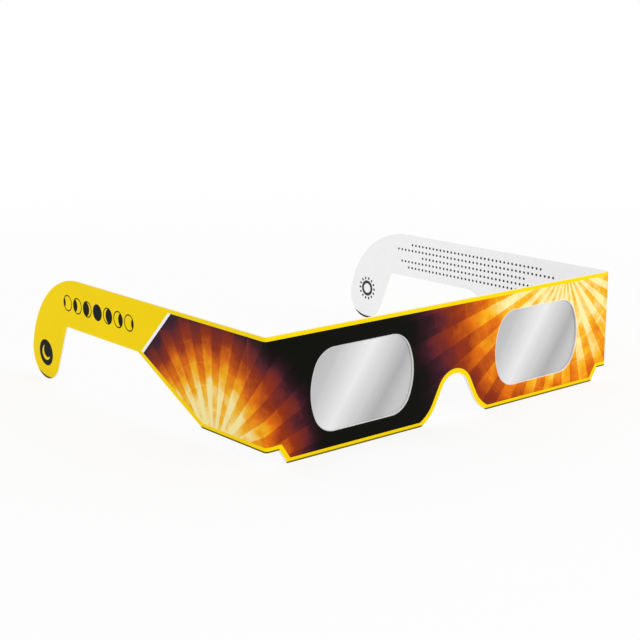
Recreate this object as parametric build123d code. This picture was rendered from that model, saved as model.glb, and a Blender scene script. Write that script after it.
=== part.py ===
from build123d import *
from math import asin, atan2, cos, degrees, hypot, radians, sin, sqrt
import os

# Eclipse glasses: one die-cut paperboard blank, folded up along its bottom edge
# round two filter films, with a folded temple at each end. Millimetres.
# The origin is on the ground, in the middle of the length and of the width.
# +Z is up, the printed front faces -Y and the temples run back along +Y.
# Right and left are the wearer's, so the right temple is on the -X side.

# Board, film and glue
board = 0.45                # thickness of the paperboard
film = 0.10                 # thickness of the filter film, and of the glue round it

# Front
front_width = 145.0         # over the two temples' outer faces
front_height = 36.8         # from the bottom fold to the top edge
end_lift = 4.4              # the single-layer ends stand this far above the bottom fold
step_top_in = 4.7           # the step's upper corner, in from the temple's outer face
step_foot_in = 7.6          # the step's lower corner, in from the temple's outer face

# Nose notch
nose_half_width = 14.3      # at the bottom fold
nose_height = 14.25
nose_crown_radius = 6.0
nose_flank_angle = 28.0     # degrees, of the straight flanks from the vertical
nose_flare_height = 5.9     # where the flanks start to flare out

# Windows, placed by the board left round them
board_beside_nose = 3.45    # from the notch's foot to the window
board_at_end = 15.95        # from the window to the temple's outer face
board_below = 6.25
board_above = 6.5
window_side_radius = 18.8   # of the bowed ends
window_corner_radius = 7.6

# Back flap
flap_top_gap = 0.9          # the flap's top edge below the front's
flap_window_margin = 0.5    # the flap's windows are wider than the front's by this, all round
flap_corner_radius = 2.0

# Films and glue
film_lap = 3.0              # film behind the board, all round the window
glue_inset = 0.6            # glue stops short of the flap's edge by this
glue_gap = 0.15             # between the glue and the film's edge

# Folds
fold_radius = 1.0           # outer radius of the temples' main folds
score_distance = 7.8        # second score line, behind the front's outer face
score_width = 0.8
score_groove = 0.12         # depth of the pressed groove on the printed side
score_bead = 0.15           # height of the bead that it raises on the inner side

# Temples, with lengths taken from the front's outer face
taper_start = 29.8
taper_end = 63.1
arm_height = 16.3           # of the straight arm
hook_corner = 106.1         # inner corner of the ear hook
hook_bend_start = 97.9      # where the top edge starts to curve down
hook_outer_radius = 32.6
hook_tip_radius = 9.0
die_corner_radius = 0.6     # of the inner corners that the cutting die leaves

# Sizes that follow from those above
half_width = front_width / 2
stack = 2 * board + film
turn_radius = stack / 2                     # outer radius of the bottom fold
bend_x = half_width - fold_radius           # where the main fold starts on the front
step_top = half_width - step_top_in
step_foot = half_width - step_foot_in
window_inner = nose_half_width + board_beside_nose
window_outer = half_width - board_at_end
window_width = window_outer - window_inner
window_height = front_height - board_below - board_above
window_x = (window_inner + window_outer) / 2
window_z = board_below + window_height / 2
arm_bottom = front_height - arm_height
end_height = front_height - end_lift
bend_centre = (hook_bend_start, front_height - hook_outer_radius)
tip_rise = hook_tip_radius - bend_centre[1]
tip_run = sqrt((hook_outer_radius - hook_tip_radius) ** 2 - tip_rise ** 2)
tip_centre = (hook_bend_start + tip_run, hook_tip_radius)
temple_reach = tip_centre[0] + hook_tip_radius
front_y = -temple_reach / 2                 # the front's outer face
score_start = score_distance - score_width / 2
score_end = score_distance + score_width / 2


def polar(centre, radius, angle):
    """Point at an angle in degrees round a centre."""
    return (centre[0] + radius * cos(radians(angle)), centre[1] + radius * sin(radians(angle)))


def sheet_across(face, depth, thickness):
    """Sheet parallel to the front, drawn in x and z, that starts at a depth behind its face."""
    return extrude(Plane.XZ.offset(-front_y - depth) * face, amount=-thickness)


def sheet_along(face, thickness):
    """Sheet of the right temple, drawn in distance behind the front's face and z."""
    return extrude(Plane.YZ.offset(-half_width) * Pos(front_y, 0) * face, amount=thickness)


def nose_notch():
    """Notch with a round crown, straight flanks and flared feet."""
    crown_centre = (0, nose_height - nose_crown_radius)
    crown = CenterArc(crown_centre, nose_crown_radius, nose_flank_angle, 90 - nose_flank_angle)
    flank_top = polar(crown_centre, nose_crown_radius, nose_flank_angle)
    flank_run = (flank_top[1] - nose_flare_height) / cos(radians(nose_flank_angle))
    flank_foot = polar(flank_top, flank_run, nose_flank_angle - 90)
    flank = Line(flank_top, flank_foot)
    flare = TangentArc(flank_foot, (nose_half_width, 0), tangent=flank % 1)
    edge = crown + flank + flare
    foot = Line((-nose_half_width, 0), (nose_half_width, 0))
    return make_face(edge + mirror(edge, about=Plane.YZ) + foot)


def end_steps():
    """What the die takes off below the single-layer ends."""
    corners = [(step_foot, 0), (step_top, end_lift), (half_width, end_lift), (half_width, 0)]
    step = make_face(Polyline(*corners, close=True))
    return step + mirror(step, about=Plane.YZ)


def layer_outline(half_length, top, foot):
    """Outline of a layer of the front, between its foot and its top edge."""
    blank = Pos(0, foot) * Rectangle(2 * half_length, top - foot, align=(Align.CENTER, Align.MIN))
    return blank - nose_notch() - end_steps()


def window_outline(margin):
    """Window with a flat head and sill and bowed ends, wider by a margin all round."""
    half_w = window_width / 2 + margin
    half_h = window_height / 2 + margin
    side_r = window_side_radius + margin
    corner_r = window_corner_radius + margin
    side_x = half_w - side_r
    corner_z = half_h - corner_r
    corner_x = side_x + sqrt((side_r - corner_r) ** 2 - corner_z ** 2)
    meet = degrees(atan2(corner_z, corner_x - side_x))
    side = CenterArc((side_x, 0), side_r, -meet, 2 * meet)
    upper = CenterArc((corner_x, corner_z), corner_r, meet, 90 - meet)
    lower = CenterArc((corner_x, -corner_z), corner_r, -90, 90 - meet)
    end = side + upper + lower
    head = Line((-corner_x, half_h), (corner_x, half_h))
    sill = Line((-corner_x, -half_h), (corner_x, -half_h))
    return make_face(end + mirror(end, about=Plane.YZ) + head + sill)


def film_outline(margin):
    """Rectangle of film cut from the roll, wider by a margin all round."""
    lap = film_lap + margin
    return Rectangle(window_width + 2 * lap, window_height + 2 * lap)


def at_windows(face):
    """The same face at both windows."""
    right = Pos(-window_x, window_z) * face
    return right + mirror(right, about=Plane.YZ)


def front_panel():
    """Outer, printed layer of the front, from one main fold to the other."""
    outline = layer_outline(bend_x, front_height, turn_radius)
    return sheet_across(outline - at_windows(window_outline(0)), 0, board)


def back_flap():
    """Inner layer, turned up from the bottom fold and glued behind the films."""
    outline = layer_outline(step_top, front_height - flap_top_gap, turn_radius)
    upper_corners = outline.vertices().group_by(Axis.Y)[-1]
    outline = fillet(upper_corners, flap_corner_radius)
    return sheet_across(outline - at_windows(window_outline(flap_window_margin)), board + film, board)


def glue_layer():
    """Glue between the two layers, all round the films."""
    top = front_height - flap_top_gap - glue_inset
    outline = offset(layer_outline(step_top, top + glue_inset, turn_radius), -glue_inset)
    return sheet_across(outline - at_windows(film_outline(glue_gap)), board, film)


def right_filter():
    """Filter film between the two layers, over the right window."""
    return sheet_across(Pos(-window_x, window_z) * film_outline(0), board, film)


def right_bottom_fold():
    """Turn of board that joins the two layers, between the nose notch and the end step."""
    centre = (front_y + turn_radius, turn_radius)
    ring = Pos(*centre) * (Circle(turn_radius) - Circle(film / 2))
    lower = Pos(centre[0], 0) * Rectangle(stack, turn_radius, align=(Align.CENTER, Align.MIN))
    turn = extrude(Plane.YZ * (ring & lower), amount=-half_width)
    return turn - sheet_across(nose_notch() + end_steps(), 0, stack)


def right_main_crease():
    """Quarter turn of board between the front panel and the right temple."""
    ring = Circle(fold_radius) - Circle(fold_radius - board)
    corner = Rectangle(fold_radius, fold_radius, align=(Align.MAX, Align.MAX))
    return extrude(Pos(-bend_x, front_y + fold_radius, end_lift) * (ring & corner), amount=end_height)


def right_temple_root():
    """Short stretch of the temple between its two folds."""
    length = score_start - fold_radius
    root = Pos(fold_radius, end_lift) * Rectangle(length, end_height, align=(Align.MIN, Align.MIN))
    return sheet_along(root, board)


def right_second_crease():
    """Pressed score line: a groove on the printed side and a bead on the inner side."""
    groove = SagittaArc((0, 0), (0, score_width), -score_groove)
    bead = SagittaArc((board, 0), (board, score_width), -score_bead)
    ends = Line((0, 0), (board, 0)) + Line((0, score_width), (board, score_width))
    profile = make_face(groove + bead + ends)
    return extrude(Pos(-half_width, front_y + score_start, end_lift) * profile, amount=end_height)


def right_temple():
    """Temple behind the second fold: taper, straight arm and ear hook."""
    corner = (hook_corner, arm_bottom)
    to_tip = (tip_centre[0] - corner[0], tip_centre[1] - corner[1])
    distance = hypot(*to_tip)
    heading = degrees(atan2(to_tip[1], to_tip[0]) - asin(hook_tip_radius / distance))
    touch = polar(corner, sqrt(distance ** 2 - hook_tip_radius ** 2), heading)
    lower_edge = FilletPolyline(
        (score_end, end_lift),
        (taper_start, end_lift),
        (taper_end, arm_bottom),
        corner,
        touch,
        radius=die_corner_radius,
    )
    blend = degrees(atan2(tip_rise, tip_run))
    tip = CenterArc(tip_centre, hook_tip_radius, heading - 90, blend - heading + 90)
    bend = CenterArc(bend_centre, hook_outer_radius, blend, 90 - blend)
    upper_edge = Polyline((hook_bend_start, front_height), (score_end, front_height), (score_end, end_lift))
    return sheet_along(make_face(lower_edge + tip + bend + upper_edge), board)


# One solid for each piece, the left ones mirrored from the right
pieces = {
    "front_panel": front_panel(),
    "back_flap": back_flap(),
    "glue_layer": glue_layer(),
}
right_pieces = {
    "filter": right_filter(),
    "bottom_fold": right_bottom_fold(),
    "main_crease": right_main_crease(),
    "temple_root": right_temple_root(),
    "second_crease": right_second_crease(),
    "temple": right_temple(),
}
for name, piece in right_pieces.items():
    pieces["right_" + name] = piece
    pieces["left_" + name] = mirror(piece, about=Plane.YZ)

os.makedirs("parts", exist_ok=True)
for name, piece in pieces.items():
    export_step(piece, f"parts/{name}.step")
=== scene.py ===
from collections import namedtuple
from functools import partialmethod, reduce
from math import cos, hypot, pi, radians, sin

import bpy
from bpy.props import FloatProperty, FloatVectorProperty, IntProperty, PointerProperty
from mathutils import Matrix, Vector


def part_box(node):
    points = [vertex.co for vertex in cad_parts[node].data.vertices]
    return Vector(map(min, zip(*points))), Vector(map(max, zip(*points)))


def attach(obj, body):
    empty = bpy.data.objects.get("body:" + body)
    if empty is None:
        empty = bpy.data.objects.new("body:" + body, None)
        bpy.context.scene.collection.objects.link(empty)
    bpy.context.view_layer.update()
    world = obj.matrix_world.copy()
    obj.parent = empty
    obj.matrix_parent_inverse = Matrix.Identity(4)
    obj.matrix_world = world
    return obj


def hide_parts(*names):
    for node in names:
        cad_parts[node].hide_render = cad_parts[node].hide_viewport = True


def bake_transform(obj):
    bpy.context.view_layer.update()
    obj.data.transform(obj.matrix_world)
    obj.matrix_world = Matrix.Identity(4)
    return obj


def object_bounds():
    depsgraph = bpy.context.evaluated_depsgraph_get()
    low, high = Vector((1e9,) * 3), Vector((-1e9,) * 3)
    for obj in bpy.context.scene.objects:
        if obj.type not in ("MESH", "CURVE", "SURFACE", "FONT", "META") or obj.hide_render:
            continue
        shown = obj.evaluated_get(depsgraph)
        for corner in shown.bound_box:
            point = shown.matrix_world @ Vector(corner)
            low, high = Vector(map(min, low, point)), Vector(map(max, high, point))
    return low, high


# Paper eclipse glasses: print, folds, filter films and studio, set round the packed
# model. Metres, +Z up, the printed front faces -Y. Right and left are the wearer's.
# The print is laid out in millimetres on the unfolded blank: "along" runs from the
# middle of the front, round the folds and down the left temple, "up" from the bottom
# fold, "reach" is along without its sign, and "behind" is how far a point of a temple
# lies behind the front's printed face.

bl_info = {
    "name": "Paper eclipse glasses",
    "version": (1, 0, 0),
    "blender": (4, 5, 0),
    "location": "View3D > Sidebar > Eclipse glasses",
    "description": "Dresses paper eclipse glasses: print, folds, filter films and studio",
    "category": "Object",
}

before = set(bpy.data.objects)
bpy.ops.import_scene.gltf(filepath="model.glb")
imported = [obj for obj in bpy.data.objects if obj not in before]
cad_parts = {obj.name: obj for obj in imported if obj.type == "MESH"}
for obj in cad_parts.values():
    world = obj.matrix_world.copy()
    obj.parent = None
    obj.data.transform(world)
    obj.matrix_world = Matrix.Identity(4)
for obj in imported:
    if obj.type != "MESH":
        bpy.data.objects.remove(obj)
cad_low, cad_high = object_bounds()

MM = 0.001
SIDES = {"right": -1, "left": 1}

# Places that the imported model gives, in millimetres
FRONT_Y = cad_low.y / MM
HEIGHT = cad_high.z / MM
HALF_WIDTH = cad_high.x / MM
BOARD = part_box("front_panel")[1].y / MM - FRONT_Y
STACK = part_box("back_flap")[1].y / MM - FRONT_Y
BEND_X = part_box("front_panel")[1].x / MM
FOLD_RADIUS = HALF_WIDTH - BEND_X
STEP_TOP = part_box("back_flap")[1].x / MM
END_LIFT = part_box("right_temple_root")[0].z / MM
SCORE_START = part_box("right_second_crease")[0].y / MM - FRONT_Y
SCORE_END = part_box("right_second_crease")[1].y / MM - FRONT_Y

# Outline of the die-cut blank, in millimetres, as in the part's source
STEP_FOOT = 64.9
TAPER_START, TAPER_END = 29.8, 63.1
ARM_BOTTOM = 20.5
NOSE_TOP, NOSE_FLARE_UP, NOSE_HALF_WIDTH = 14.25, 5.9, 14.3
NOSE_CROWN_RADIUS = 6.0
NOSE_LEAN = radians(28)
HOOK_CORNER = (106.1, 20.5)  # behind the front, and up
HOOK_TOUCH = (112.77, 5.37)  # where the hook's straight inner edge ends
HOOK_BEND_CENTRE, HOOK_OUTER_RADIUS = (97.9, 4.2), 32.6
TIP_CENTRE, TIP_RADIUS = (121.01, 9.0), 9.0
# Painted shadow under the hook's tip: where it lies and where it fades in
TIP_PAINTED_SHADOW = radians(80)  # middle of the tip's shadow line, below the rear
TIP_PAINTED_SHADOW_FADE = (0.80, 0.92)  # where it begins, in shares of the tip's radius

# Windows in millimetres: reach and up of their middle, and sizes from there
WINDOW_MIDDLE = (37.15, 18.275)
WINDOW_HALF_WIDTH, WINDOW_HALF_HEIGHT = 19.4, 12.025
WINDOW_SIDE_RADIUS, WINDOW_CORNER_RADIUS = 18.8, 7.6

# Layout of the print that no setting changes
NIGHT_FADE = (75, 112)  # reach over which soot turns to night
GLOW_FADE = (0.06, 0.22)  # heat over which a glow covers its ground
FIRST_GLOW, NEXT_GLOW = 0.15, 0.2  # heat of the coolest glow, and from one to the next
MOON_SHIFT, MOON_SIZE = 0.3, 0.9  # of the crescent's dark part, in crescent radii
ROW_SWING, ROW_TURN = 0.22, 2.4  # how the rows of dots differ in length
RING_MIDDLE, RING_HALF_WIDTH = 0.55, 0.13  # of the ring of rays, in glyph radii
RAY_START, RAY_GAP = 0.78, 0.2  # foot of its rays, and how far apart they stand

# Folds and film
MAIN_STRETCH = 0.2  # of the ink on a main fold, against that on the second score
SLACK_FROM_SIDE = (0.08, 0.25)  # shares of the film over which its slack sets in
SLACK_FROM_END = (0.12, 0.3)
# Painted shadow on the bottom fold: dark below these heights, fading out between them
PAINTED_SHADOW_FADE = (0.43, 0.5)  # heights on the bottom fold, in stacks, where its dark line ends

# Noise: scale for each millimetre, then detail and roughness
RUB = (1.6, 4.0, 0.7)
TINGE = (0.05, 2.0)
SMUDGE = (0.11, 3.0)
GRAIN = PLIES = (2.5, 3.0, 0.7)
FIBRES = (2.2, 3.0, 0.7)
FINE_GRAIN = (9.0,)
FOLD_CRACKS = (2.0, 4.0, 0.75)
TURN_CRACKS = (2.0, 4.0, 0.7)
CRUSH = FINE_STREAKS = (1.0, 3.0)
SLACK = WAVER = (1.0, 1.0)
FILM_RELIEF = (1.0, 2.0)
HAZE = (0.4, 3.0)
GLUE_CLOUD = (0.5, 4.0)

# Painted reflection: light and dark streaks across a film, fixed in its colour: place, and
# brightness between the two silvers
PAINTED_REFLECTION_STREAKS = (
    (0.0, 0.20),
    (0.14, 0.32),
    (0.42, 1.0),
    (0.58, 0.55),
    (0.745, 0.05),
    (0.90, 0.38),
    (1.0, 0.42),
)

WHITE = (1.0, 1.0, 1.0)
FLOOR_GREY = (0.95, 0.95, 0.95)


def ink(red, green, blue):
    """Linear colour of an ink, from its screen values."""
    shares = (value / 255 for value in (red, green, blue))
    return [s / 12.92 if s <= 0.04045 else ((s + 0.055) / 1.055) ** 2.4 for s in shares]


# Settings. Each helper makes one property: lengths are given in millimetres, and inks
# and finishes by their screen values.

def length(name, millimetres, description):
    return FloatProperty(
        name=name,
        description=description,
        default=millimetres * MM,
        min=0.0,
        precision=5,
        unit="LENGTH",
    )


def place(name, millimetres, description):
    return FloatVectorProperty(
        name=name,
        description=description,
        size=len(millimetres),
        default=[value * MM for value in millimetres],
        precision=5,
        unit="LENGTH",
    )


def colour(name, values, description):
    return FloatVectorProperty(
        name=name,
        description=description,
        size=3,
        default=ink(*values),
        min=0.0,
        max=1.0,
        subtype="COLOR",
    )


def share(name, value, description):
    """Number between 0 and 1."""
    return FloatProperty(
        name=name, description=description, default=value, min=0.0, max=1.0, subtype="FACTOR"
    )


def number(name, value, description):
    """Number that may pass 1."""
    return FloatProperty(name=name, description=description, default=value, min=0.0)


def count(name, value, description):
    return IntProperty(name=name, description=description, default=value, min=1)


class PrintSettings(bpy.types.PropertyGroup):
    """Inks and layout of the print, with the painted shadow line along its lower edges."""

    yellow: colour("Yellow", (255, 221, 0), "Border and rear part of the temples")
    black: colour("Black", (20, 24, 20), "Marks on the temples")
    white: colour("White", (255, 255, 255), "Stripe across the temples")
    soot: colour("Soot", (11, 11, 7), "Darkest ground of the front")
    night: colour("Night", (32, 28, 46), "Darkest ground of the temples")
    plum: colour("Plum", (70, 28, 44), "Coolest glow")
    ember: colour("Ember", (150, 52, 18), "Second glow")
    orange: colour("Orange", (228, 112, 12), "Third glow")
    amber: colour("Amber", (252, 186, 28), "Fourth glow")
    pale: colour("Pale yellow", (255, 240, 168), "Hottest glow")
    # Painted shadow: a dark line along the lower edges and under the hook's tip, standing in for
    # the shade there
    shadow: colour("Shadow line", (92, 76, 2), "Line along the lower edges")
    border: length("Border", 1.3, "Width of the yellow border along the upper edges")
    low_border: length("Low border", 1.55, "Width of the yellow border along the lower edges")
    # Widths of the painted shadow line
    painted_shadow_width: length("Under line", 0.50, "Width of the shadow line at the single-layer ends")
    painted_shadow_front_width: length("Front line", 0.15, "Width of the shadow line above the bottom folds")
    painted_shadow_tip_width: length("Tip line", 0.80, "Width of the shadow line under the hook's tip")
    stripe_width: length("Stripe", 1.0, "Width of the white stripe across the temples")
    stripe_top: place("Stripe top", (44.75, 35.4), "Behind the front, and up")
    stripe_foot: place("Stripe foot", (60.2, 20.6), "Behind the front, and up")
    low_sun: place("Low sun", (97.0, -2.0), "Reach and up of the sun on each temple")
    low_glow: length("Low glow", 33.0, "Radius of the low suns' glow")
    low_rays: count("Low rays", 44, "Rays in a full turn of a low sun")
    high_sun: place("High sun", (50.0, 41.0), "Along and up of the sun over the left window")
    high_glow: length("High glow", 52.0, "Radius of the high sun's glow")
    high_heat: share("High heat", 0.92, "Brightness of the high sun's glow")
    high_rays: count("High rays", 56, "Rays in a full turn of the high sun")
    glow_edge: number("Glow edge", 3.0, "How steeply a glow ends at its radius")
    ray_strength: share("Ray strength", 0.22, "Contrast of the rays")
    ripple_spacing: length("Ripple spacing", 6.6, "Between two ripples")
    ripple_width: length("Ripple width", 0.35, "Of the ripples' line")
    ripple_strength: share("Ripple strength", 0.07, "Heat that a ripple adds")
    cloud_size: length("Cloud size", 7.0, "Of the mottling in the glow")
    cloud_strength: number("Cloud strength", 0.9, "Contrast of the mottling")
    line_width: length("Line width", 0.4, "Of fine printed lines")
    phases: count("Phases", 7, "Discs in the row on each arm")
    phase_start: length("Row start", 64.6, "Behind the front")
    phase_spacing: length("Row spacing", 6.2, "Between two discs")
    phase_radius: length("Phase radius", 2.5, "Of each disc in the row")
    disc_radius: length("Disc radius", 4.5, "Of the black disc on the hook")
    crescent_radius: length("Crescent radius", 2.6, "Of the crescent left open in the black disc")
    grey: colour("Grey", (64, 64, 66), "Print on the inner side of the temples")
    rows: count("Rows", 5, "Rows of dots on the inner side")
    rows_behind: length("Rows behind", 62.0, "Middle of the rows, behind the front")
    rows_up: length("Rows up", 23.0, "Foot of the lowest row")
    row_spacing: length("Row spacing", 2.25, "Between two rows")
    row_half_length: length("Row half length", 34.0, "Mean half length of a row")
    dot_spacing: length("Dot spacing", 1.9, "Between two dots of a row")
    dot_radius: length("Dot radius", 0.46, "Of each dot")
    glyph_behind: length("Glyph behind", 120.0, "Middle of the ring of rays, behind the front")
    glyph_up: length("Glyph up", 12.2, "Middle of the ring of rays, up")
    glyph_radius: length("Glyph radius", 4.6, "Of the ring of rays, over the rays")
    glyph_rays: count("Glyph rays", 14, "Rays round the ring")


class BoardSettings(bpy.types.PropertyGroup):
    """Paperboard, its varnish and its wear."""

    bare: colour("Bare board", (255, 255, 255), "Uncoated side")
    cut: colour("Cut edge", (252, 251, 247), "Fibres at a cut")
    fibre: colour("Fibre", (222, 219, 212), "Darker fibres")
    glue: colour("Glue", (214, 206, 180), "Dried glue between the layers")
    glue_roughness: share("Glue roughness", 0.55, "Of the dried glue")
    glue_depth: length("Glue depth", 0.05, "Height of the glue's unevenness")
    grain_depth: length("Grain depth", 0.03, "Height of the board's fibres")
    wear_width: length("Wear width", 0.10, "Rubbed rim of the printed side")
    rim_width: length("Rim width", 0.24, "Raw rim of the print round the windows")
    wear: share("Wear", 0.6, "How bare the rubbed and the raw rim are")
    tinge: share("Tinge", 0.03, "Strength of the print's darker patches")
    smudges: share("Smudges", 0.18, "Unevenness of the varnish's gloss")
    print_relief: share("Print relief", 0.4, "Grain of the printed side against the bare side")
    fibre_share: share("Fibres", 0.12, "How clearly the darker fibres show")
    # Paleness on the folds: cracked and stretched ink, and also a painted highlight along the
    # score
    crack_share: share("Cracks", 0.35, "Share of a fold where the ink has cracked")
    stretch_share: share("Stretch", 0.02, "How pale the ink is in the middle of a fold")
    roughness: share("Roughness", 0.42, "Of the varnish")
    bare_roughness: share("Bare roughness", 0.88, "Of uncoated board")
    coat: share("Coat", 0.01, "Weight of the varnish's gloss")
    specular: share("Specular", 0.03, "Reflection of the inks")


class FoldSettings(bpy.types.PropertyGroup):
    """Cells and relief of the folds."""

    columns: count("Columns", 14, "Cells across a fold")
    rows: count("Rows", 120, "Cells up a fold")
    groove: length("Groove", 0.12, "Pressed into the printed side of the second score")
    bead: length("Bead", 0.15, "Raised on the inner side of the second score")
    crush: length("Crush", 0.03, "Unevenness of the bent board")
    tuck: length("Tuck", 0.03, "How far the middle of a main fold's cut ends lies inside them")


class FilmSettings(bpy.types.PropertyGroup):
    """Silvered filter films, with streaks of painted reflection."""

    # Painted reflection: the silver in its light and its dark streak
    light: colour("Light silver", (238, 238, 239), "In the light streak")
    dark: colour("Dark silver", (174, 174, 176), "In the dark streak")
    reflection_streak_width: length("Streak width", 40.0, "Over all the streaks of a window")
    reflection_streak_lean: FloatProperty(
        name="Streak lean",
        description="Angle of the streaks from the vertical",
        default=radians(35),
        subtype="ANGLE",
    )
    wave: length("Wave", 0.05, "Height of the film's slack in the window")
    wave_size: length("Wave size", 16.0, "Length of a wave")
    # Sway and fine streaks of the painted reflection
    waver: share("Waver", 0.1, "How far the streaks sway, in streak widths")
    fine: share("Fine streaks", 0.16, "Contrast of the fine streaks")
    haze: share("Haze", 0.1, "Unevenness of the silvering's gloss")
    relief: length("Relief", 0.008, "Height of the streaks")
    columns: count("Columns", 96, "Cells across a film")
    rows: count("Rows", 64, "Cells up a film")
    metallic: share("Metallic", 0.9, "Share of metal in the silvering")
    roughness: share("Roughness", 0.3, "Of the silvering")


class StudioSettings(bpy.types.PropertyGroup):
    """Camera, lamp, sky and floor."""

    camera_place: place("Camera", (-279.94, -335.26, 120.16), "Place of the camera")
    camera_turn: FloatVectorProperty(
        name="Camera turn",
        description="Turn of the camera about X, Y and Z",
        size=3,
        default=(radians(77), 0.0, radians(-39.968)),
        subtype="EULER",
    )
    lens: FloatProperty(
        name="Lens",
        description="Focal length on a 36 mm sensor, in millimetres",
        default=74.517,
        unit="CAMERA",
    )
    sky: number("Sky", 0.87, "Strength of the even light")
    key_power: FloatProperty(
        name="Key power", description="Of the large lamp", default=2.8, unit="POWER"
    )
    key_size: length("Key size", 900.0, "Side of the large lamp")
    key_place: place("Key place", (350.0, -900.0, 650.0), "Place of the large lamp")
    floor_size: length("Floor size", 6000.0, "Side of the floor")
    plain_from: length("Plain from", 600.0, "Where the floor has faded to plain white")
    floor_glow: share("Floor glow", 0.8, "Share of even white in the floor that is seen")


class GlassesSettings(bpy.types.PropertyGroup):
    """Everything that the panel shows."""

    inks: PointerProperty(name="Print", type=PrintSettings)
    board: PointerProperty(name="Board", type=BoardSettings)
    folds: PointerProperty(name="Folds", type=FoldSettings)
    film: PointerProperty(name="Films", type=FilmSettings)
    studio: PointerProperty(name="Studio", type=StudioSettings)


def settings():
    """The settings of this scene."""
    return bpy.context.scene.eclipse_glasses


# Node trees

class Wire:
    """Output socket on which Python's arithmetic adds Math nodes."""

    def __init__(self, net, socket):
        self.net = net
        self.socket = socket

    def out(self, name):
        """Another output of the same node."""
        return Wire(self.net, self.net.find(self.socket.node.outputs, name))

    def maths(self, operation, *others):
        """One Math node, with this socket as its first value."""
        return self.net.maths(operation, self, *others)

    __add__ = __radd__ = partialmethod(maths, "ADD")
    __sub__ = partialmethod(maths, "SUBTRACT")
    __mul__ = __rmul__ = partialmethod(maths, "MULTIPLY")
    __truediv__ = partialmethod(maths, "DIVIDE")
    __pow__ = partialmethod(maths, "POWER")
    __abs__ = partialmethod(maths, "ABSOLUTE")
    __lt__ = partialmethod(maths, "LESS_THAN")
    __gt__ = partialmethod(maths, "GREATER_THAN")
    __and__ = partialmethod(maths, "MINIMUM")
    __or__ = partialmethod(maths, "MAXIMUM")

    def __rsub__(self, other):
        return self.net.maths("SUBTRACT", other, self)

    def __neg__(self):
        return self * -1


class Net:
    """A node tree, and the one way in which nodes are added to it."""

    def __init__(self, tree):
        self.tree = tree
        tree.nodes.clear()

    @staticmethod
    def find(sockets, key):
        if isinstance(key, int):
            return sockets[key]
        return next(s for s in sockets if key in (s.identifier, s.name))

    def add(self, kind, values=None, out=0, stops=(), **choices):
        """One node: its choices and ramp stops first, then its sockets' values or links."""
        node = self.tree.nodes.new(kind)
        for name, choice in choices.items():
            setattr(node, name, choice)
        if stops:
            elements = node.color_ramp.elements
            elements.remove(elements[1])
            for index, (where, shade) in enumerate(stops):
                element = elements.new(where) if index else elements[0]
                element.position = where
                element.color = (*shade, 1.0)
        for key, value in (values or {}).items():
            socket = self.find(node.inputs, key)
            if isinstance(value, Wire):
                self.tree.links.new(value.socket, socket)
            else:
                socket.default_value = (*value, 1.0) if socket.type == "RGBA" else value
        return Wire(self, self.find(node.outputs, out)) if node.outputs else node

    def maths(self, operation, *values):
        return self.add("ShaderNodeMath", dict(enumerate(values)), operation=operation)

    def mix(self, mask, below, above):
        """Colour above where the mask is 1, and below where it is 0."""
        sockets = {"Factor_Float": mask, "A_Color": below, "B_Color": above}
        return self.add("ShaderNodeMix", sockets, "Result_Color", data_type="RGBA")

    def choose(self, mask, below, above):
        """Number above where the mask is 1, and below where it is 0."""
        sockets = {"Factor_Float": mask, "A_Float": below, "B_Float": above}
        return self.add("ShaderNodeMix", sockets, "Result_Float", data_type="FLOAT")

    def fade(self, value, start, end):
        """0 at start and 1 at end, smooth between."""
        sockets = {"Value": value, "From Min": start, "From Max": end}
        return self.add("ShaderNodeMapRange", sockets, interpolation_type="SMOOTHSTEP")

    def split(self, vector):
        x = self.add("ShaderNodeSeparateXYZ", {0: vector}, "X")
        return x, x.out("Y"), x.out("Z")

    def join(self, x, y, z):
        return self.add("ShaderNodeCombineXYZ", {"X": x, "Y": y, "Z": z})

    def store(self, geometry, label, value, kind, domain):
        """The geometry with a value stored on it under a label."""
        sockets = {"Geometry": geometry, "Name": label, "Value": value}
        choices = {"data_type": kind, "domain": domain}
        return self.add("GeometryNodeStoreNamedAttribute", sockets, **choices)

    def noise(self, where, scale, detail=2.0, roughness=0.5):
        """Noise about one half, with a scale per millimetre."""
        sockets = {"Vector": where, "Scale": scale, "Detail": detail, "Roughness": roughness}
        return self.add("ShaderNodeTexNoise", sockets)


def least(*wires):
    """The lowest of several numbers."""
    return reduce(lambda one, other: one & other, wires)


def distance(out, rise, centre=(0.0, 0.0)):
    """Distance of a point from a centre."""
    return ((out - centre[0]) ** 2 + (rise - centre[1]) ** 2) ** 0.5


# Places on the unfolded blank

def object_place(net):
    """Point of the piece, in millimetres."""
    metres = net.add("ShaderNodeTexCoord", out="Object")
    return net.add("ShaderNodeVectorMath", {0: metres, "Scale": 1 / MM}, operation="SCALE")


def panel_place(net):
    """Along and up on a flat panel."""
    x, y, z = net.split(object_place(net))
    return x + x.maths("SIGN") * (y - FRONT_Y), z


def carried_place(net):
    """Place and stretch that a grown slab carries, so that they stay when it bends."""
    return net.split(net.add("ShaderNodeAttribute", out="Vector", attribute_name="unrolled"))


def above_line(reach, up, start, end):
    """Distance above a straight line from start to end."""
    run, rise = end[0] - start[0], end[1] - start[1]
    size = hypot(run, rise)
    return (up - start[1]) * (run / size) - (reach - start[0]) * (rise / size)


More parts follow.
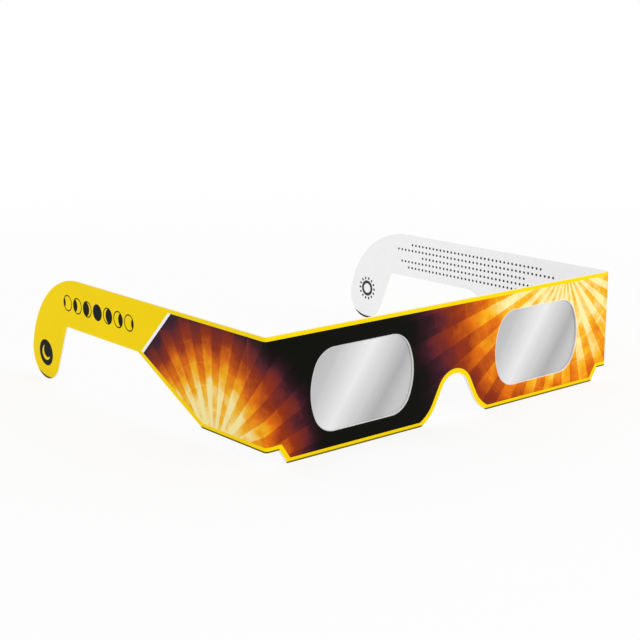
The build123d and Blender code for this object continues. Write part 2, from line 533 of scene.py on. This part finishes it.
def nose_distance(net, reach, up):
    """Distance from the nose notch: round crown, straight flank and flared foot."""
    out, fall = cos(NOSE_LEAN), sin(NOSE_LEAN)
    crown = (0.0, NOSE_TOP - NOSE_CROWN_RADIUS)
    touch = (NOSE_CROWN_RADIUS * out, crown[1] + NOSE_CROWN_RADIUS * fall)
    flank = (touch[1] - NOSE_FLARE_UP) / out
    foot = (touch[0] + flank * fall, NOSE_FLARE_UP)
    gap = (NOSE_HALF_WIDTH - foot[0], -NOSE_FLARE_UP)
    radius = (gap[0] ** 2 + gap[1] ** 2) / (2 * (gap[0] * out + gap[1] * fall))
    flare = (foot[0] + radius * out, foot[1] + radius * fall)
    down_flank = (reach - touch[0]) * fall - (up - touch[1]) * out
    from_flank = (reach - touch[0]) * out + (up - touch[1]) * fall
    from_crown = distance(reach, up, crown) - NOSE_CROWN_RADIUS
    from_flare = (radius - distance(reach, up, flare)) | (reach - flare[0])
    lower = net.choose(down_flank < flank, from_flare, from_flank)
    return net.choose(down_flank < 0, lower, from_crown)


def lower_edge_distance(reach, up):
    """Distance from the blank's lower outline, from the middle back to the hook."""
    behind = reach - HALF_WIDTH
    step = above_line(reach, up, (STEP_FOOT, 0), (STEP_TOP, END_LIFT))
    taper = above_line(behind, up, (TAPER_START, END_LIFT), (TAPER_END, ARM_BOTTOM))
    hook = above_line(behind, up, HOOK_CORNER, HOOK_TOUCH)
    return least(up, step | (up - END_LIFT), taper | (up - ARM_BOTTOM) | hook)


def edge_distance(net, reach, up):
    """Distance from the blank's whole outline."""
    behind = reach - HALF_WIDTH
    bend = HOOK_OUTER_RADIUS - distance(behind, up, HOOK_BEND_CENTRE)
    top = net.choose(behind < HOOK_BEND_CENTRE[0], bend, HEIGHT - up)
    body = least(lower_edge_distance(reach, up), top, nose_distance(net, reach, up))
    past_touch = above_line(behind, up, TIP_CENTRE, HOOK_TOUCH)
    past_bend = above_line(behind, up, HOOK_BEND_CENTRE, TIP_CENTRE)
    in_tip = (past_touch > 0) & (past_bend < 0)
    tip = TIP_RADIUS - distance(behind, up, TIP_CENTRE)
    return net.choose(in_tip, body, tip)


def window_distance(net, reach, up):
    """Distance outside the window, whose ends are bowed and whose corners are round."""
    out, rise = abs(reach - WINDOW_MIDDLE[0]), abs(up - WINDOW_MIDDLE[1])
    side = WINDOW_HALF_WIDTH - WINDOW_SIDE_RADIUS
    corner_rise = WINDOW_HALF_HEIGHT - WINDOW_CORNER_RADIUS
    inset = WINDOW_SIDE_RADIUS - WINDOW_CORNER_RADIUS
    corner = (side + (inset ** 2 - corner_rise ** 2) ** 0.5, corner_rise)
    from_side = distance(out, rise, (side, 0)) - WINDOW_SIDE_RADIUS
    from_corner = distance(out, rise, corner) - WINDOW_CORNER_RADIUS
    in_corner = above_line(out, rise, (side, 0), corner) > 0
    bowed = net.choose(in_corner, from_side, from_corner)
    return net.choose(out < corner[0], bowed, rise - WINDOW_HALF_HEIGHT)


# Print, with the painted shadow line along its lower edges

def sunburst(out, rise, glow_size, rays, inks):
    """Heat round a sun: a soft glow cut by straight rays and thin ripples."""
    radius = distance(out, rise)
    glow = (-((radius / (glow_size / MM)) ** inks.glow_edge)).maths("EXPONENT")
    ray = (rise.maths("ARCTAN2", out) * (rays / 2)).maths("SINE") > 0
    spacing = inks.ripple_spacing / MM
    ripple = (radius / spacing).maths("FRACT") < inks.ripple_width / MM / spacing
    contrast = 1 + inks.ray_strength * (ray - 0.5) + inks.ripple_strength * ripple
    return glow * contrast


def artwork(net, along, up, inks):
    """Sunbursts that run from black over plum, ember and orange to pale yellow."""
    reach = abs(along)
    low_out, low_rise = reach - inks.low_sun[0] / MM, up - inks.low_sun[1] / MM
    high_out, high_rise = along - inks.high_sun[0] / MM, up - inks.high_sun[1] / MM
    low = sunburst(low_out, low_rise, inks.low_glow, inks.low_rays, inks)
    high = sunburst(high_out, high_rise, inks.high_glow, inks.high_rays, inks)
    cloud = net.noise(net.join(along, up, 0), MM / inks.cloud_size, 5.0, 0.6) - 0.5
    heat = (low | high * inks.high_heat) * (1 + inks.cloud_strength * cloud)
    glows = (inks.plum, inks.ember, inks.orange, inks.amber, inks.pale)
    stops = [(FIRST_GLOW + NEXT_GLOW * index, glow) for index, glow in enumerate(glows)]
    hot = net.add("ShaderNodeValToRGB", {"Fac": heat}, stops=stops)
    dark = net.mix(net.fade(reach, *NIGHT_FADE), inks.soot, inks.night)
    return net.mix(net.fade(heat, *GLOW_FADE), dark, hot)


def phase_row(behind, up, inks):
    """Row of discs on the arm, each covered a little more or less than the next."""
    radius, spacing = inks.phase_radius / MM, inks.phase_spacing / MM
    step = (behind - inks.phase_start / MM) / spacing
    index = step.maths("FLOOR")
    out = (step - index - 0.5) * spacing
    rise = up - (HEIGHT + ARM_BOTTOM) / 2
    sun = distance(out, rise)
    shift = (index - (inks.phases - 1) / 2) * (4 * radius / (inks.phases + 1))
    cover = (distance(out - shift, rise) < radius) & (sun < radius)
    ring = abs(sun - radius) < inks.line_width / MM / 2
    return (step > 0) & (step < inks.phases) & (cover | ring)


def hook_disc(behind, up, inks):
    """Black disc on the hook, with a crescent left open in it."""
    sun = inks.disc_radius / MM
    crescent = inks.crescent_radius / MM
    shift = MOON_SHIFT * crescent
    moon = (TIP_CENTRE[0] - shift, TIP_CENTRE[1] + shift)
    middle = distance(behind, up, TIP_CENTRE)
    covered = (middle > crescent) | (distance(behind, up, moon) < MOON_SIZE * crescent)
    return (middle < sun) & covered


def painted_shadow_line(net, reach, up, edge, inks):
    """Painted shadow: a dark line along the lower edges of the board and under the tip of the
    hook, in place of the shade of their cut edges.
    """
    behind = reach - HALF_WIDTH
    front = up < (STACK / 2 + inks.painted_shadow_front_width / MM)
    line = inks.painted_shadow_width / MM
    end = (reach > STEP_TOP) & (behind < TAPER_END) & (up < END_LIFT + line)
    down = (behind - TIP_CENTRE[0]) * cos(TIP_PAINTED_SHADOW) - (up - TIP_CENTRE[1]) * sin(TIP_PAINTED_SHADOW)
    tip = net.fade(down / TIP_RADIUS, *TIP_PAINTED_SHADOW_FADE)
    return (edge < (end * line | tip * (inks.painted_shadow_tip_width / MM))) | front


def print_with_painted_shadow(net, along, up, edge, inks):
    """Colour of the printed side, with the painted shadow line laid over the print."""
    reach = abs(along)
    behind = reach - HALF_WIDTH
    low_edge = least(lower_edge_distance(reach, up), nose_distance(net, reach, up))
    border = (edge < inks.border / MM) | (low_edge < inks.low_border / MM)
    top = [value / MM for value in inks.stripe_top]
    foot = [value / MM for value in inks.stripe_foot]
    past = above_line(behind, up, top, foot)
    stripe = (past > 0) & (past < inks.stripe_width / MM) & (1 - border)
    yellow = (border | (past > 0)) & (1 - stripe)
    art = artwork(net, along, up, inks)
    ground = net.mix(stripe, net.mix(yellow, art, inks.yellow), inks.white)
    # Painted shadow along the lower edges and under the hook's tip
    under = painted_shadow_line(net, reach, up, edge, inks)
    ground = net.mix(under, ground, inks.shadow)
    marks = phase_row(behind, up, inks) | hook_disc(behind, up, inks)
    return net.mix(marks, ground, inks.black)


def inner_print(net, reach, up, inks, board):
    """Grey rows of dots and a ring of rays on the bare inner side of a temple, with a painted
    black shadow under the hook's tip.
    """
    behind = reach - HALF_WIDTH
    spacing, pitch = inks.dot_spacing / MM, inks.row_spacing / MM
    row = (up - inks.rows_up / MM) / pitch
    index = row.maths("FLOOR")
    dot_behind = ((behind / spacing).maths("FLOOR") + 0.5) * spacing
    from_dot = distance(behind - dot_behind, (row - index - 0.5) * pitch)
    swing = ROW_SWING * (index * ROW_TURN).maths("SINE")
    half_length = inks.row_half_length / MM * (1 + swing)
    in_row = abs(dot_behind - inks.rows_behind / MM) < half_length
    dots = (from_dot < inks.dot_radius / MM) & in_row & (row > 0) & (row < inks.rows)
    out, rise = behind - inks.glyph_behind / MM, up - inks.glyph_up / MM
    radius = inks.glyph_radius / MM
    middle = distance(out, rise)
    ring = abs(middle - RING_MIDDLE * radius) < RING_HALF_WIDTH * radius
    turned = (rise.maths("ARCTAN2", out) * inks.glyph_rays).maths("COSINE")
    rays = (turned > RAY_GAP) & (middle > RAY_START * radius) & (middle < radius)
    printed = net.mix(dots | ring | rays, board.bare, inks.grey)
    edge = edge_distance(net, reach, up)
    # Painted shadow: black line under the hook's tip
    under = painted_shadow_line(net, reach, up, edge, inks) & (behind > TAPER_END)
    return net.mix(under, printed, inks.black)


# Finishes of board, folds, films, glue and studio

Finish = namedtuple("Finish", "colour roughness relief coat")


def varnished(net, along, up, inks, board):
    """Printed and varnished board with its painted shadow line, rubbed along its cut outline."""
    where = net.join(along, up, 0)
    wear, rim = board.wear_width / MM, board.rim_width / MM
    edge = edge_distance(net, abs(along), up)
    rub = net.noise(where, *RUB) - 0.5
    rubbed = (edge + rub * (3 * wear)) < wear
    outside_window = window_distance(net, abs(along), up) + rub * rim
    worn = rubbed | net.fade(outside_window, 1.2 * rim, 0.7 * rim)
    tinge = net.fade(net.noise(where, *TINGE), 0.3, 0.8)
    # The print, with the painted shadow line in it
    printed = print_with_painted_shadow(net, along, up, edge, inks)
    printed = net.mix(worn * board.wear, printed, board.bare)
    printed = net.mix(tinge * board.tinge, printed, inks.black)
    smudge = net.noise(where, *SMUDGE) - 0.5
    roughness = board.roughness + smudge * board.smudges + worn * 0.3
    relief = net.noise(where, *GRAIN) * board.print_relief
    return Finish(printed, roughness, relief, board.coat)


def bare(net, ground, board):
    """Uncoated side of the board, with long fibres and fine grain."""
    where = object_place(net)
    x, y, z = net.split(where)
    fibres = net.noise(net.join(x * 0.35, y * 0.35, z), *FIBRES)
    grain = fibres * 0.6 + net.noise(where, *FINE_GRAIN) * 0.4
    dark = net.fade(grain, 0.4, 0.8) * board.fibre_share
    shaded = net.mix(dark, ground, board.fibre)
    return Finish(shaded, board.bare_roughness, grain, 0.0)


def cut(net, board):
    """Cut edge, where the board's plies show as fine layers."""
    x, y, z = net.split(object_place(net))
    plies = net.noise(net.join(x * 3, y * 3, z * 0.8), *PLIES)
    shaded = net.mix(net.fade(plies, 0.4, 0.7), board.cut, board.fibre)
    return Finish(shaded, board.bare_roughness, plies, 0.0)


def lay(net, mask, below, above):
    """One finish over another, where the mask is 1."""
    return Finish(
        net.mix(mask, below.colour, above.colour),
        net.choose(mask, below.roughness, above.roughness),
        net.choose(mask, below.relief, above.relief),
        net.choose(mask, below.coat, above.coat),
    )


def made(name, build, *choices):
    """A material by name, with its nodes built afresh from the settings."""
    material = bpy.data.materials.get(name) or bpy.data.materials.new(name)
    material.use_nodes = True
    build(Net(material.node_tree), *choices)
    return material


def close(net, finish, depth, metallic=0.0, specular=0.5):
    """Brings a finish together in one shader."""
    normal = net.add("ShaderNodeBump", {"Distance": depth, "Height": finish.relief})
    sockets = {
        "Base Color": finish.colour,
        "Roughness": finish.roughness,
        "Normal": normal,
        "Coat Weight": finish.coat,
        "Coat Roughness": 0.3,
        "Metallic": metallic,
        "Specular IOR Level": specular,
    }
    shader = net.add("ShaderNodeBsdfPrincipled", sockets)
    net.add("ShaderNodeOutputMaterial", {"Surface": shader})


def close_board(net, finish):
    """Brings a finish of the board together."""
    board = settings().board
    close(net, finish, board.grain_depth, specular=board.specular)


def front_turn(net):
    """1 on the printed side of the front, -1 on its inner side and 0 on its cut edges."""
    return -net.split(net.add("ShaderNodeTexCoord", out="Normal"))[1]


def temple_turn(net):
    """The same for a temple, whose printed side faces away from the middle."""
    x, _, _ = net.split(net.add("ShaderNodeTexCoord", out="Normal"))
    side, _, _ = net.split(object_place(net))
    return x * side.maths("SIGN")


def printed_panel(net, turn, has_inner_print):
    """Printed board with its inner side and its cut edges."""
    inks, board = settings().inks, settings().board
    along, up = panel_place(net)
    turned = turn(net)
    ground = board.bare
    if has_inner_print:
        ground = inner_print(net, abs(along) + BOARD, up, inks, board)
    inner = lay(net, turned < -0.5, cut(net, board), bare(net, ground, board))
    close_board(net, lay(net, turned > 0.5, inner, varnished(net, along, up, inks, board)))


def printed_fold(net):
    """Printed side of a fold, whose ink is stretched pale and cracked in fine lines; on the score
    the paleness is also a painted highlight.
    """
    inks, board = settings().inks, settings().board
    along, up, stretch = carried_place(net)
    finish = varnished(net, along, up, inks, board)
    crack = net.noise(net.join(along * 4, up * 0.25, 0), *FOLD_CRACKS)
    # Cracks and painted highlight: board shows where the ink cracks, which also paints a light
    # line along the score
    cracks_and_highlight = net.fade(crack, 1 - board.crack_share, 1.05 - board.crack_share) * stretch
    pale = (stretch * board.stretch_share) | (cracks_and_highlight * 0.5)
    shown = net.mix(pale, finish.colour, board.bare)
    roughness = finish.roughness + cracks_and_highlight * 0.3
    close_board(net, Finish(shown, roughness, finish.relief - cracks_and_highlight * 0.5, finish.coat))


def bare_board(net):
    """Uncoated board all over."""
    board = settings().board
    close_board(net, bare(net, board.bare, board))


def cut_board(net):
    """Cut edge all over."""
    close_board(net, cut(net, settings().board))


def bottom_fold(net):
    """Turn of board under the front: border in front, painted shadow below and bare behind."""
    inks, board = settings().inks, settings().board
    where = object_place(net)
    x, y, z = net.split(where)
    # Painted shadow: the lower part of the turn darkened to the shadow colour
    under = 1 - net.fade(z / STACK, *PAINTED_SHADOW_FADE)
    crack = net.fade(net.noise(net.join(x * 0.5, z * 4, 0), *TURN_CRACKS), 0.6, 0.75)
    printed = net.mix(under, inks.yellow, inks.shadow)
    printed = net.mix(crack * 0.2, printed, board.bare)
    relief = net.noise(where, *GRAIN) * board.print_relief
    outer = Finish(printed, board.roughness + crack * 0.2, relief, board.coat)
    inner = bare(net, board.bare, board)
    close_board(net, lay(net, y > FRONT_Y + STACK / 2, outer, inner))


def silver_film_painted_reflection(net):
    """Silvered film with one light and one dark streak painted into its colour: a painted
    reflection, as a stretched film shows.
    """
    look = settings().film
    out, rise, _ = carried_place(net)
    lean = (cos(look.reflection_streak_lean), sin(look.reflection_streak_lean))
    across = (out * lean[0] - rise * lean[1]) / (look.reflection_streak_width / MM)
    down = (out * lean[1] + rise * lean[0]) / (look.reflection_streak_width / MM)
    waver = (net.noise(net.join(across * 3, down * 1.2, 0), *WAVER) - 0.5) * look.waver
    # Painted reflection: light and dark streaks in the film's colour
    stops = [(where, (level, level, level)) for where, level in PAINTED_REFLECTION_STREAKS]
    streaks = net.add("ShaderNodeValToRGB", {"Fac": across + 0.5 + waver}, stops=stops)
    fine = net.noise(net.join(across * 16, down * 0.8, 0), *FINE_STREAKS) - 0.5
    painted_reflection = net.split(streaks)[0] + fine * look.fine
    silver = net.mix(painted_reflection, look.dark, look.light)
    haze = net.noise(net.join(out, rise, 0), *HAZE) - 0.5
    relief = net.noise(net.join(across * 5, down, 1), *FILM_RELIEF)
    finish = Finish(silver, look.roughness + haze * look.haze, relief, 0.0)
    close(net, finish, look.relief, look.metallic)


def dried_glue(net):
    """Glue that has dried cloudy and a little yellow."""
    board = settings().board
    cloud = net.noise(object_place(net), *GLUE_CLOUD)
    tone = net.mix(net.fade(cloud, 0.35, 0.65) * 0.5, board.glue, board.fibre)
    finish = Finish(tone, board.glue_roughness + cloud * 0.2, cloud, 0.0)
    close(net, finish, board.glue_depth)


def seen_share(net):
    """1 for what the camera, a gloss or a clear piece sees, and 0 for the light on things."""
    path = net.add("ShaderNodeLightPath", out="Is Camera Ray")
    return path | path.out("Is Glossy Ray") | path.out("Is Transmission Ray")


def floor_paper(net):
    """Pale floor that takes the object's shadow and fades to plain white far out."""
    studio = settings().studio
    lit = net.add("ShaderNodeBsdfDiffuse", {"Color": FLOOR_GREY})
    even = net.add("ShaderNodeEmission", {"Color": WHITE, "Strength": 1.0})
    x, y, _ = net.split(net.add("ShaderNodeTexCoord", out="Object"))
    far = net.fade(distance(x, y), 0.2 * studio.plain_from, studio.plain_from)
    glow = seen_share(net) * (studio.floor_glow + far * (1.0 - studio.floor_glow))
    shader = net.add("ShaderNodeMixShader", {0: glow, 1: lit, 2: even})
    net.add("ShaderNodeOutputMaterial", {"Surface": shader})


def dress(node, material):
    """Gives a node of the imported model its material."""
    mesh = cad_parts[node].data
    mesh.materials.clear()
    mesh.materials.append(material)


# Slabs of board and film, grown by geometry nodes

SOCKETS = {int: "NodeSocketInt", float: "NodeSocketFloat", Vector: "NodeSocketVector"}


def slab_tree(name, sizes, bend, finishes):
    """A closed block of cells that a rule bends, with a material on each kind of side."""
    tree = bpy.data.node_groups.new(name, "GeometryNodeTree")
    net = Net(tree)
    for label, value in sizes.items():
        kind = SOCKETS[type(value)]
        socket = tree.interface.new_socket(label, in_out="INPUT", socket_type=kind)
        socket.default_value = value
    tree.interface.new_socket("Slab", in_out="OUTPUT", socket_type="NodeSocketGeometry")
    first = net.add("NodeGroupInput")
    size = {label: first.out(label) for label in sizes}
    cells = {
        "Size": (1, 1, 1),
        "Vertices X": size["Columns"],
        "Vertices Y": 2,
        "Vertices Z": size["Rows"],
    }
    slab = net.add("GeometryNodeMeshCube", cells, "Mesh")
    _, facing, _ = net.split(net.add("GeometryNodeInputNormal"))
    masks = {"outside": facing < -0.5, "inside": facing > 0.5}
    for label, mask in masks.items():
        slab = net.store(slab, label, mask, "BOOLEAN", "FACE")
    cell = net.split(net.add("GeometryNodeInputPosition"))
    across, through, up = (value + 0.5 for value in cell)
    position, unrolled = bend(net, size, across, through, up)
    slab = net.store(slab, "unrolled", unrolled, "FLOAT_VECTOR", "POINT")
    slab = net.add("GeometryNodeSetPosition", {"Geometry": slab, "Position": position})
    slab = net.add("GeometryNodeFlipFaces", {"Mesh": slab, "Selection": size["Side"] < 0})
    sides = {
        label: net.add(
            "GeometryNodeInputNamedAttribute", {"Name": label}, "Attribute", data_type="BOOLEAN"
        )
        for label in masks
    }
    smooth = {"Geometry": slab, "Selection": sides["outside"] | sides["inside"]}
    slab = net.add("GeometryNodeSetShadeSmooth", smooth)
    slab = net.add("GeometryNodeRealizeInstances", {"Geometry": slab})
    slab = net.add("GeometryNodeSetMaterial", {"Geometry": slab, "Material": finishes["rim"]})
    for label, mask in sides.items():
        chosen = {"Geometry": slab, "Selection": mask, "Material": finishes[label]}
        slab = net.add("GeometryNodeSetMaterial", chosen)
    net.add("NodeGroupOutput", {"Slab": slab})
    return tree


def grow(name, tree, sizes):
    """Runs a tree and leaves its result as a plain mesh."""
    piece = bpy.data.objects.new(name, bpy.data.meshes.new(name))
    bpy.context.collection.objects.link(piece)
    modifier = piece.modifiers.new("Slab", "NODES")
    modifier.node_group = tree
    for item in tree.interface.items_tree:
        if item.in_out == "INPUT":
            modifier[item.identifier] = sizes[item.name]
    depsgraph = bpy.context.evaluated_depsgraph_get()
    mesh = bpy.data.meshes.new_from_object(
        piece.evaluated_get(depsgraph), preserve_all_data_layers=True, depsgraph=depsgraph
    )
    piece.modifiers.clear()
    piece.data = mesh
    mesh.name = name
    return piece


def swell(across):
    """0 at both sides of a fold and 1 in its middle."""
    return 4 * across * (1 - across)


def height_on_fold(size, up):
    """Height of a point of a fold, in millimetres."""
    return (size["Foot"] + up * (HEIGHT * MM - size["Foot"])) / MM


def bend_main_fold(net, size, across, through, up):
    """Quarter turn of board from the front to a temple, a little crushed on its outside."""
    bulge = swell(across)
    height = height_on_fold(size, up) + (1 - 2 * up) * bulge * size["Tuck"] / MM
    turn = across * (pi / 2)
    crush = net.noise(net.join(across * 2, height * 0.5, size["Side"]), *CRUSH)
    crushed = bulge * (1 - through) * (size["Crush"] / MM * crush)
    radius = FOLD_RADIUS - through * BOARD - crushed
    out, back = radius * turn.maths("SINE"), radius * turn.maths("COSINE")
    position = net.join(
        size["Side"] * (BEND_X + out) * MM, (FRONT_Y + FOLD_RADIUS - back) * MM, height * MM
    )
    print_out = FOLD_RADIUS * (1 + turn.maths("SINE") - turn.maths("COSINE"))
    along = size["Side"] * (BEND_X + print_out)
    return position, net.join(along, height, bulge * MAIN_STRETCH)


def bend_score(net, size, across, through, up):
    """Pressed score line: a groove on the printed side and a bead on the inner side."""
    height = height_on_fold(size, up)
    press = (size["Groove"] * (1 - through) + size["Bead"] * through) / MM
    inward = through * BOARD + swell(across) * press
    behind = SCORE_START + across * (SCORE_END - SCORE_START)
    position = net.join(
        size["Side"] * (HALF_WIDTH - inward) * MM, (FRONT_Y + behind) * MM, height * MM
    )
    return position, net.join(size["Side"] * (HALF_WIDTH + behind), height, swell(across))


def bend_film(net, size, across, through, up):
    """Film that hangs a little slack in its window and lies flat under the board."""
    low, high = net.split(size["Low"]), net.split(size["High"])
    x = low[0] + across * (high[0] - low[0])
    z = low[2] + up * (high[2] - low[2])
    place_in_wave = net.join(x / size["Wave size"], z / size["Wave size"] * 0.6, 0)
    wave = net.noise(place_in_wave, *SLACK) - 0.5
    from_side, from_end = 0.5 - abs(across - 0.5), 0.5 - abs(up - 0.5)
    slack = net.fade(from_side, *SLACK_FROM_SIDE) * net.fade(from_end, *SLACK_FROM_END)
    y = low[1] + through * (high[1] - low[1]) + wave * slack * 2 * size["Wave"]
    out = (x - (low[0] + high[0]) / 2) / MM
    rise = (z - (low[2] + high[2]) / 2) / MM
    return net.join(x, y, z), net.join(out, rise, 0)


def fold_pieces(kind, bend, extra):
    """Both folds of one kind, with the side of each."""
    folds = settings().folds
    finishes = {
        "outside": made("printed_fold", printed_fold),
        "inside": made("bare_board", bare_board),
        "rim": made("cut_board", cut_board),
    }
    sizes = {
        "Columns": folds.columns + 1,
        "Rows": folds.rows + 1,
        "Side": 1.0,
        "Foot": END_LIFT * MM,
        **extra,
    }
    tree = slab_tree(kind, sizes, bend, finishes)
    for side, sign in SIDES.items():
        fold = grow(f"{side}_{kind}_board", tree, sizes | {"Side": float(sign)})
        yield side, sign, fold


# Operators, one for each piece or group of like pieces

class PieceOperator(bpy.types.Operator):
    """What all the operators share"""

    bl_options = {"REGISTER", "UNDO"}


class ECLIPSE_OT_front(PieceOperator):
    """Prints the front and leaves its inner side bare"""

    bl_idname = "eclipse.front"
    bl_label = "Front"

    def execute(self, context):
        dress("front_panel", made("printed_front", printed_panel, front_turn, False))
        return {"FINISHED"}


class ECLIPSE_OT_bottom_folds(PieceOperator):
    """Prints the turn of board between the front and the back flap, with a painted shadow on its
    lower part
    """

    bl_idname = "eclipse.bottom_folds"
    bl_label = "Bottom folds"

    def execute(self, context):
        material = made("bottom_fold", bottom_fold)
        for side in SIDES:
            dress(f"{side}_bottom_fold", material)
        return {"FINISHED"}


class ECLIPSE_OT_back_flap(PieceOperator):
    """Gives the back flap its bare board"""

    bl_idname = "eclipse.back_flap"
    bl_label = "Back flap"

    def execute(self, context):
        dress("back_flap", made("bare_board", bare_board))
        return {"FINISHED"}


class ECLIPSE_OT_glue(PieceOperator):
    """Gives the glue between the layers its look"""

    bl_idname = "eclipse.glue"
    bl_label = "Glue"

    def execute(self, context):
        dress("glue_layer", made("dried_glue", dried_glue))
        return {"FINISHED"}


class ECLIPSE_OT_films(PieceOperator):
    """Lays a slack, silvered filter film in each window, with streaks of painted reflection"""

    bl_idname = "eclipse.films"
    bl_label = "Filter films"

    def execute(self, context):
        look = settings().film
        silver = made("silver_film_painted_reflection", silver_film_painted_reflection)
        finishes = {"outside": silver, "inside": silver, "rim": silver}
        sizes = {
            "Columns": look.columns + 1,
            "Rows": look.rows + 1,
            "Side": 1.0,
            "Low": cad_low,
            "High": cad_high,
            "Wave": look.wave,
            "Wave size": look.wave_size,
        }
        tree = slab_tree("film", sizes, bend_film, finishes)
        for side in SIDES:
            low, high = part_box(f"{side}_filter")
            film = grow(f"{side}_film", tree, sizes | {"Low": low, "High": high})
            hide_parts(f"{side}_filter")
            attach(film, "front")
        return {"FINISHED"}


class ECLIPSE_OT_main_folds(PieceOperator):
    """Bends the board between the front and each temple"""

    bl_idname = "eclipse.main_folds"
    bl_label = "Main folds"

    def execute(self, context):
        folds = settings().folds
        extra = {"Crush": folds.crush, "Tuck": folds.tuck}
        for side, sign, fold in fold_pieces("main_crease", bend_main_fold, extra):
            inner = FOLD_RADIUS - BOARD
            start = (sign * BEND_X, FRONT_Y + FOLD_RADIUS - inner)
            end = (sign * (BEND_X + inner), FRONT_Y + FOLD_RADIUS)
            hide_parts(f"{side}_main_crease")
            start[0] * MM
            start[1] * MM
            end[0] * MM
            end[1] * MM
            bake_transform(fold)
        return {"FINISHED"}


class ECLIPSE_OT_temples(PieceOperator):
    """Prints both temples, in front of and behind their second fold"""

    bl_idname = "eclipse.temples"
    bl_label = "Temples"

    def execute(self, context):
        material = made("printed_temple", printed_panel, temple_turn, True)
        for side in SIDES:
            dress(f"{side}_temple_root", material)
            dress(f"{side}_temple", material)
        return {"FINISHED"}


class ECLIPSE_OT_second_folds(PieceOperator):
    """Presses the second score line into each temple"""

    bl_idname = "eclipse.second_folds"
    bl_label = "Second folds"

    def execute(self, context):
        folds = settings().folds
        extra = {"Groove": folds.groove, "Bead": folds.bead}
        for side, sign, fold in fold_pieces("second_crease", bend_score, extra):
            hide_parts(f"{side}_second_crease")
            sign * HALF_WIDTH * MM
            sign * HALF_WIDTH * MM
            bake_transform(fold)
        return {"FINISHED"}


class ECLIPSE_OT_studio(PieceOperator):
    """Sets the floor, the lamp, the sky and the camera"""

    bl_idname = "eclipse.studio"
    bl_label = "Studio"

    def execute(self, context):
        studio = settings().studio
        scene = context.scene
        scene.view_settings.view_transform = "Standard"
        self.add_floor(studio)
        self.add_sky(scene, studio)
        self.add_lamp(studio)
        self.add_camera(scene, studio)
        return {"FINISHED"}

    @staticmethod
    def add_floor(studio):
        half = studio.floor_size / 2
        corners = [(-half, -half, 0), (half, -half, 0), (half, half, 0), (-half, half, 0)]
        mesh = bpy.data.meshes.new("floor")
        mesh.from_pydata(corners, [], [(0, 1, 2, 3)])
        floor = bpy.data.objects.new("floor", mesh)
        bpy.context.collection.objects.link(floor)
        mesh.materials.append(made("floor", floor_paper))

    @staticmethod
    def add_sky(scene, studio):
        world = bpy.data.worlds.new("sky")
        world.use_nodes = True
        net = Net(world.node_tree)
        strength = studio.sky + seen_share(net) * (1.0 - studio.sky)
        sky = net.add("ShaderNodeBackground", {"Color": WHITE, "Strength": strength})
        net.add("ShaderNodeOutputWorld", {"Surface": sky})
        scene.world = world

    @staticmethod
    def add_lamp(studio):
        light = bpy.data.lights.new("key", "AREA")
        light.energy = studio.key_power
        light.size = studio.key_size
        lamp = bpy.data.objects.new("key", light)
        lamp.location = studio.key_place
        lamp.rotation_euler = (-lamp.location).to_track_quat("-Z", "Y").to_euler()
        bpy.context.collection.objects.link(lamp)

    @staticmethod
    def add_camera(scene, studio):
        camera = bpy.data.objects.new("camera", bpy.data.cameras.new("camera"))
        camera.location = studio.camera_place
        camera.rotation_euler = studio.camera_turn
        camera.data.lens = studio.lens
        camera.data.sensor_width = 36.0
        camera.data.clip_start = 0.01
        bpy.context.collection.objects.link(camera)
        scene.camera = camera


PIECES = (
    ECLIPSE_OT_front,
    ECLIPSE_OT_bottom_folds,
    ECLIPSE_OT_back_flap,
    ECLIPSE_OT_glue,
    ECLIPSE_OT_films,
    ECLIPSE_OT_main_folds,
    ECLIPSE_OT_temples,
    ECLIPSE_OT_second_folds,
    ECLIPSE_OT_studio,
)


class ECLIPSE_PT_glasses(bpy.types.Panel):
    """Lists the pieces and their settings."""

    bl_label = "Eclipse glasses"
    bl_space_type = "VIEW_3D"
    bl_region_type = "UI"
    bl_category = "Eclipse glasses"

    def draw(self, context):
        for piece in PIECES:
            self.layout.operator(piece.bl_idname)
        for group in ("inks", "board", "folds", "film", "studio"):
            box = self.layout.box()
            held = getattr(settings(), group)
            for name in held.bl_rna.properties.keys():
                if name not in ("rna_type", "name"):
                    box.prop(held, name)


CLASSES = (
    PrintSettings,
    BoardSettings,
    FoldSettings,
    FilmSettings,
    StudioSettings,
    GlassesSettings,
    *PIECES,
    ECLIPSE_PT_glasses,
)


def register():
    for part in CLASSES:
        bpy.utils.register_class(part)
    bpy.types.Scene.eclipse_glasses = PointerProperty(type=GlassesSettings)


def unregister():
    del bpy.types.Scene.eclipse_glasses
    for part in reversed(CLASSES):
        bpy.utils.unregister_class(part)


def main():
    """Makes every piece in order."""
    register()
    for piece in PIECES:
        group, name = piece.bl_idname.split(".")
        getattr(getattr(bpy.ops, group), name)()


if __name__ == "__main__":
    main()
